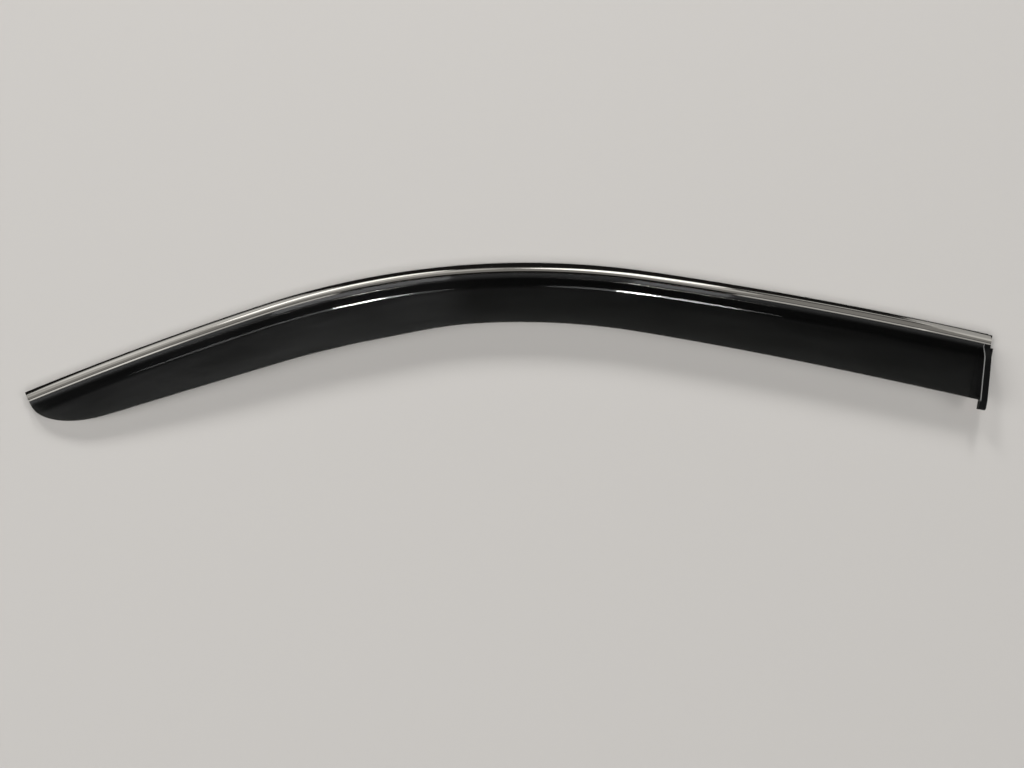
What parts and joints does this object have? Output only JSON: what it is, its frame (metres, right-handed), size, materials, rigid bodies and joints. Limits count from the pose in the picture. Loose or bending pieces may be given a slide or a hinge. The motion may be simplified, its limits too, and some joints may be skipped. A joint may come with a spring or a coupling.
{
  "type": "window rain deflector",
  "caption": "Arched car window rain deflector: a smoked blade on a flat taped flange, with a bright trim strip along its upper edge and a black end cap.",
  "frame": {"origin": "crest of the arch, midway across the mounting tape, on the back of its release film", "axes": "+X along the window frame to the rear, +Y up the door, +Z out of the door"},
  "size_m": [1.0132, 0.1656, 0.025],
  "materials": {
    "smoked_acrylic": "polished, dark smoke tint",
    "bright_stainless": "mirror polished",
    "foam_tape": "closed-cell foam",
    "red_film": "smooth release film",
    "black_moulding": "satin moulded"
  },
  "bodies": {
    "root": {"visor_blade": "smoked_acrylic", "trim_strip": "bright_stainless", "trim_tape": "foam_tape", "front_mounting_tape": "foam_tape", "crest_mounting_tape": "foam_tape", "rear_mounting_tape": "foam_tape", "front_release_film": "red_film", "crest_release_film": "red_film", "rear_release_film": "red_film", "end_cap": "black_moulding", "cap_pad": "foam_tape", "cap_pad_film": "red_film"}
  },
  "joints": []
}
